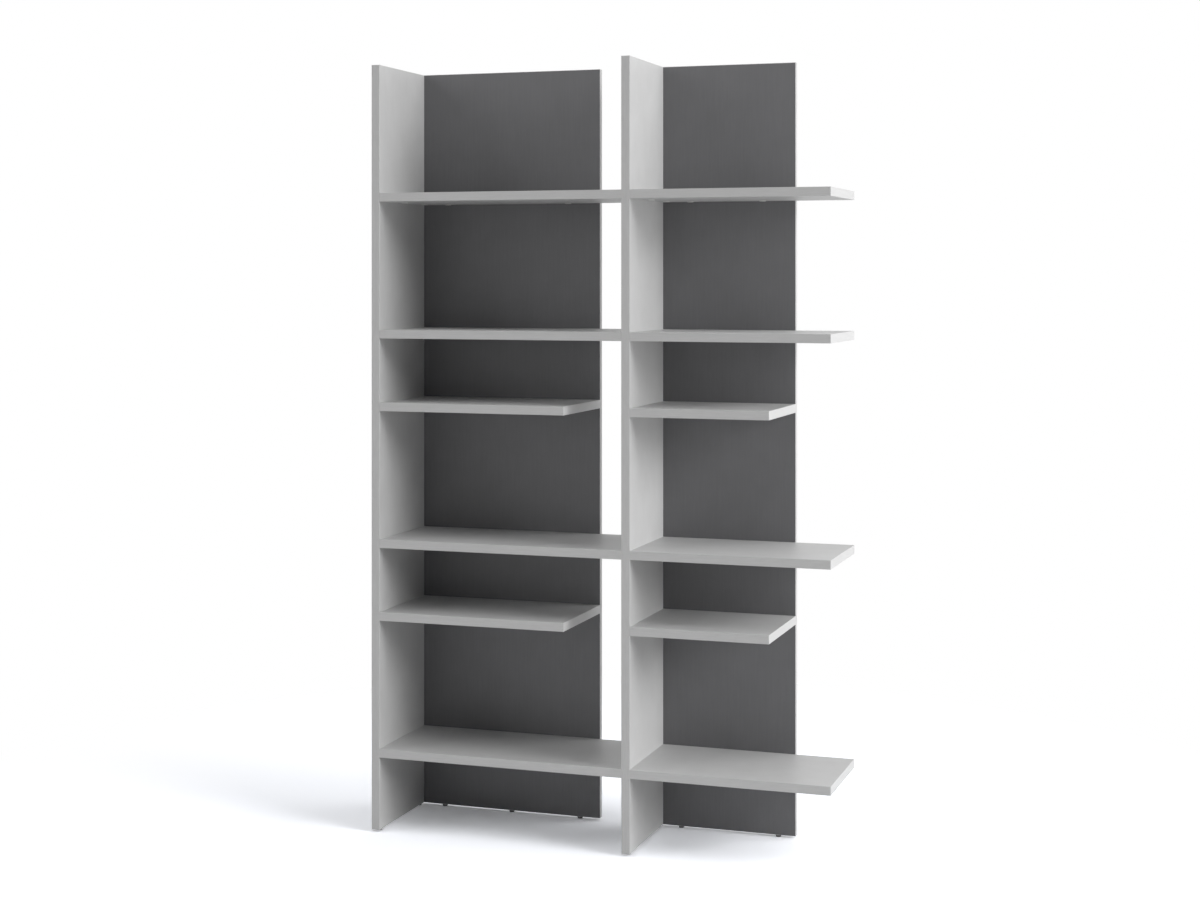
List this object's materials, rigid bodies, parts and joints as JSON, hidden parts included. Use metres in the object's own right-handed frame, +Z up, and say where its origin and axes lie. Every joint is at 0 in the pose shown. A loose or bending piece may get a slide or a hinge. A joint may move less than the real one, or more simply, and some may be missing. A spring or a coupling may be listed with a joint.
{
  "type": "bookcase",
  "caption": "Tall open bookcase: light grey uprights and shelves, narrower dark grey back panels and shelves of two lengths, whose right ends hang free past the back.",
  "frame": {"origin": "on the floor, under the middle of the bookcase's overall width and depth", "axes": "+X to the right as seen from the front, where the shelves' free ends are; +Y to the back; +Z up"},
  "size_m": [1.194, 0.3014, 1.964],
  "materials": {
    "light_boards": "melamine-faced chipboard, light grey, fine matt texture",
    "dark_boards": "melamine-faced chipboard, dark grey, fine matt texture",
    "edge_bands": "ABS edge band, light grey, satin",
    "zinc_cams": "zinc die casting, as cast",
    "cam_caps": "moulded polypropylene, white, satin",
    "cam_bolts": "steel, zinc plated",
    "beech_dowels": "beech, bare",
    "foot_glides": "moulded polyethylene, grey, satin",
    "steel_nails": "steel, bright"
  },
  "bodies": {
    "root": {"glide_nails": "steel_nails", "left_back_panel": "dark_boards", "left_back_panel_cams": "zinc_cams", "left_back_panel_caps": "cam_caps", "left_back_panel_dowels": "beech_dowels", "left_back_panel_edge_bands": "edge_bands", "left_back_panel_glides": "foot_glides", "left_back_panel_screwed_bolts": "cam_bolts", "left_long_shelf_1": "light_boards", "left_long_shelf_1_edge_bands": "edge_bands", "left_long_shelf_2": "light_boards", "left_long_shelf_2_edge_bands": "edge_bands", "left_long_shelf_3": "light_boards", "left_long_shelf_3_edge_bands": "edge_bands", "left_long_shelf_4": "light_boards", "left_long_shelf_4_edge_bands": "edge_bands", "left_shelf_back_cams": "zinc_cams", "left_shelf_back_caps": "cam_caps", "left_shelf_end_cams": "zinc_cams", "left_shelf_end_caps": "cam_caps", "left_short_shelf_1": "light_boards", "left_short_shelf_1_edge_bands": "edge_bands", "left_short_shelf_2": "light_boards", "left_short_shelf_2_edge_bands": "edge_bands", "left_upright": "light_boards", "left_upright_dowels": "beech_dowels", "left_upright_edge_bands": "edge_bands", "left_upright_glides": "foot_glides", "left_upright_screwed_bolts": "cam_bolts", "middle_upright": "light_boards", "middle_upright_dowels": "beech_dowels", "middle_upright_edge_bands": "edge_bands", "middle_upright_glides": "foot_glides", "middle_upright_screwed_bolts": "cam_bolts", "middle_upright_through_bolts": "cam_bolts", "right_back_panel": "dark_boards", "right_back_panel_cams": "zinc_cams", "right_back_panel_caps": "cam_caps", "right_back_panel_dowels": "beech_dowels", "right_back_panel_edge_bands": "edge_bands", "right_back_panel_glides": "foot_glides", "right_back_panel_screwed_bolts": "cam_bolts", "right_long_shelf_1": "light_boards", "right_long_shelf_1_edge_bands": "edge_bands", "right_long_shelf_2": "light_boards", "right_long_shelf_2_edge_bands": "edge_bands", "right_long_shelf_3": "light_boards", "right_long_shelf_3_edge_bands": "edge_bands", "right_long_shelf_4": "light_boards", "right_long_shelf_4_edge_bands": "edge_bands", "right_shelf_back_cams": "zinc_cams", "right_shelf_back_caps": "cam_caps", "right_shelf_end_cams": "zinc_cams", "right_shelf_end_caps": "cam_caps", "right_short_shelf_1": "light_boards", "right_short_shelf_1_edge_bands": "edge_bands", "right_short_shelf_2": "light_boards", "right_short_shelf_2_edge_bands": "edge_bands"}
  },
  "joints": []
}
